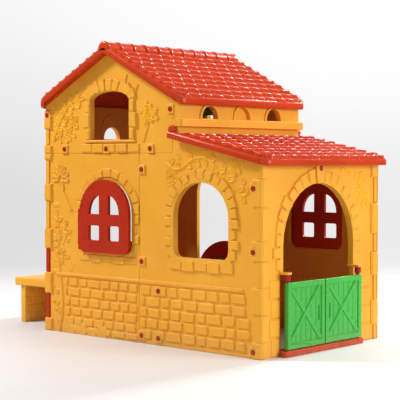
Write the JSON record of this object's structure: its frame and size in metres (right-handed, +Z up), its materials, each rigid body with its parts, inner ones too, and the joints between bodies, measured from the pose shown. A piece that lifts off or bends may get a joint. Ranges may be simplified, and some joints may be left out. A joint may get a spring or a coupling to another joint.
{
  "type": "plastic playhouse",
  "caption": "Walk-in plastic playhouse with panel walls, tiled gable and porch roofs, low double doors, hinged windows and a rear bench.",
  "frame": {"origin": "on the floor, under the middle of the whole footprint, porch eave to bench edge", "axes": "+Z up; +Y from the door face to the bench; +X to the right as seen from the door"},
  "size_m": [1.08, 2.084, 1.611],
  "materials": {
    "wall_yellow": "moulded, fine texture, satin",
    "roof_red": "moulded, slightly glossy",
    "deep_red": "moulded, slightly glossy",
    "cap_red": "moulded, slightly glossy",
    "green": "moulded, slightly glossy"
  },
  "bodies": {
    "house": {"back_panel_lower": "deep_red", "back_panel_middle": "wall_yellow", "back_panel_upper": "wall_yellow", "bench_leg": "wall_yellow", "bench_top": "wall_yellow", "clerestory_panel": "wall_yellow", "door_pin_left": "cap_red", "door_pin_right": "cap_red", "front_panel": "wall_yellow", "gable_blind": "green", "gable_panel_left": "wall_yellow", "gable_panel_right": "wall_yellow", "main_roof_back": "roof_red", "main_roof_front": "roof_red", "porch_roof": "roof_red", "screw_cap_keystone": "cap_red", "screw_cap_left_1": "cap_red", "screw_cap_left_10": "cap_red", "screw_cap_left_11": "cap_red", "screw_cap_left_12": "cap_red", "screw_cap_left_13": "cap_red", "screw_cap_left_2": "cap_red", "screw_cap_left_3": "cap_red", "screw_cap_left_4": "cap_red", "screw_cap_left_5": "cap_red", "screw_cap_left_6": "cap_red", "screw_cap_left_7": "cap_red", "screw_cap_left_8": "cap_red", "screw_cap_left_9": "cap_red", "screw_cap_right_1": "cap_red", "screw_cap_right_10": "cap_red", "screw_cap_right_11": "cap_red", "screw_cap_right_12": "cap_red", "screw_cap_right_13": "cap_red", "screw_cap_right_2": "cap_red", "screw_cap_right_3": "cap_red", "screw_cap_right_4": "cap_red", "screw_cap_right_5": "cap_red", "screw_cap_right_6": "cap_red", "screw_cap_right_7": "cap_red", "screw_cap_right_8": "cap_red", "screw_cap_right_9": "cap_red", "side_door_hinge_lower": "deep_red", "side_door_hinge_upper": "deep_red", "side_panel_back_left": "wall_yellow", "side_panel_back_right": "wall_yellow", "side_panel_front_left": "wall_yellow", "side_panel_front_right": "wall_yellow", "threshold": "roof_red", "window_left_hinge_lower": "deep_red", "window_left_hinge_upper": "deep_red", "window_right_hinge_lower": "deep_red", "window_right_hinge_upper": "deep_red"},
    "door_left": {"door_leaf_left": "green"},
    "door_right": {"door_leaf_right": "green"},
    "window_left_leaf": {"window_left": "deep_red"},
    "window_right_leaf": {"window_right": "deep_red"},
    "side_door_leaf": {"side_door": "deep_red", "side_door_knob": "green"}
  },
  "joints": [
    {"name": "door_left_hinge", "type": "hinge", "parent": "house", "child": "door_left", "pos_m": [-0.333, -1.017, 0.2], "axis": [0, 0, -1], "range_deg": [0, 110]},
    {"name": "door_right_hinge", "type": "hinge", "parent": "house", "child": "door_right", "pos_m": [0.271, -1.017, 0.2], "axis": [0, 0, 1], "range_deg": [0, 110]},
    {"name": "window_left_hinge", "type": "hinge", "parent": "house", "child": "window_left_leaf", "pos_m": [-0.512, 0.3005, 0.59], "axis": [0, 0, -1], "range_deg": [0, 160]},
    {"name": "window_right_hinge", "type": "hinge", "parent": "house", "child": "window_right_leaf", "pos_m": [0.512, -0.3875, 0.59], "axis": [0, 0, 1], "range_deg": [0, 160]},
    {"name": "side_door_hinge", "type": "hinge", "parent": "house", "child": "side_door_leaf", "pos_m": [0.512, 0.3255, 0.2], "axis": [0, 0, 1], "range_deg": [0, 110]}
  ]
}
